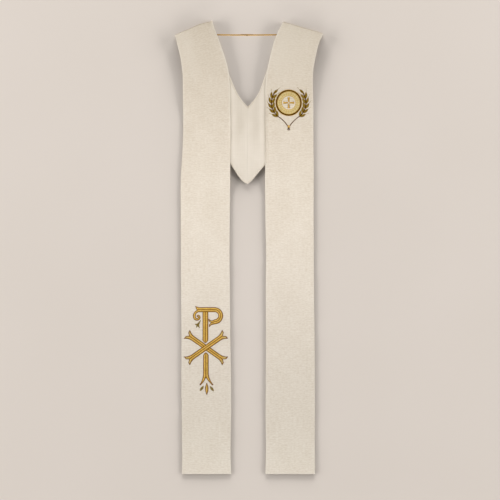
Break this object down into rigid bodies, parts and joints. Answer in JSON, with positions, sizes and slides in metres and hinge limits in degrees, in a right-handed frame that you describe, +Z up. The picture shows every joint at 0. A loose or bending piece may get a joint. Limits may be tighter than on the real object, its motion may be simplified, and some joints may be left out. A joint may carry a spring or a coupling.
{
  "type": "clerical stole",
  "caption": "Cream clerical stole laid flat: two long bands folded at the shoulders over a short V-shaped back, gold embroidery on each front and a gold neck cord.",
  "frame": {"origin": "middle of the footprint, on the surface that the stole lies on", "axes": "+Z up, away from the surface; +Y along the bands from the hems to the shoulder folds; +X to the right seen from above with the shoulders at the top"},
  "size_m": [0.426, 1.301, 0.0081],
  "materials": {
    "face_cloth": "matt cream cloth with a fine cross rib",
    "lining": "cream lining with a fine lengthwise grain and a slight sheen",
    "gold_thread": "raised satin stitch in bright gold thread",
    "pale_gold_thread": "satin stitch in pale gold thread",
    "olive_thread": "satin stitch in olive gold thread",
    "brown_thread": "satin stitch in dark brown thread",
    "ivory_thread": "satin stitch in ivory thread",
    "gold_cord": "twisted metallic gold cord"
  },
  "bodies": {
    "root": {"left_band": "face_cloth", "right_band": "face_cloth", "left_back_lining": "lining", "right_back_lining": "lining", "chi_arm_over": "gold_thread", "chi_arm_under_upper": "gold_thread", "chi_arm_under_lower": "gold_thread", "rho_stem": "gold_thread", "rho_stroke": "gold_thread", "foot_stem": "gold_thread", "leaf": "gold_thread", "drop_middle": "gold_thread", "drop_left": "gold_thread", "drop_right": "gold_thread", "roundel_ground": "pale_gold_thread", "roundel_ring": "brown_thread", "host": "ivory_thread", "host_cross_arm_1": "gold_thread", "host_cross_arm_2": "gold_thread", "host_cross_arm_3": "gold_thread", "host_cross_arm_4": "gold_thread", "grain_left_01": "olive_thread", "grain_left_02": "olive_thread", "grain_left_03": "olive_thread", "grain_left_04": "olive_thread", "grain_left_05": "olive_thread", "grain_left_06": "olive_thread", "grain_left_07": "olive_thread", "grain_left_08": "olive_thread", "grain_left_09": "olive_thread", "grain_left_10": "olive_thread", "grain_left_11": "olive_thread", "stalk_left": "brown_thread", "grain_right_01": "olive_thread", "grain_right_02": "olive_thread", "grain_right_03": "olive_thread", "grain_right_04": "olive_thread", "grain_right_05": "olive_thread", "grain_right_06": "olive_thread", "grain_right_07": "olive_thread", "grain_right_08": "olive_thread", "grain_right_09": "olive_thread", "grain_right_10": "olive_thread", "grain_right_11": "olive_thread", "stalk_right": "brown_thread", "wheat_tie": "gold_thread", "neck_cord_left": "gold_cord", "neck_cord_right": "gold_cord", "cord_knot": "gold_cord"}
  },
  "joints": []
}
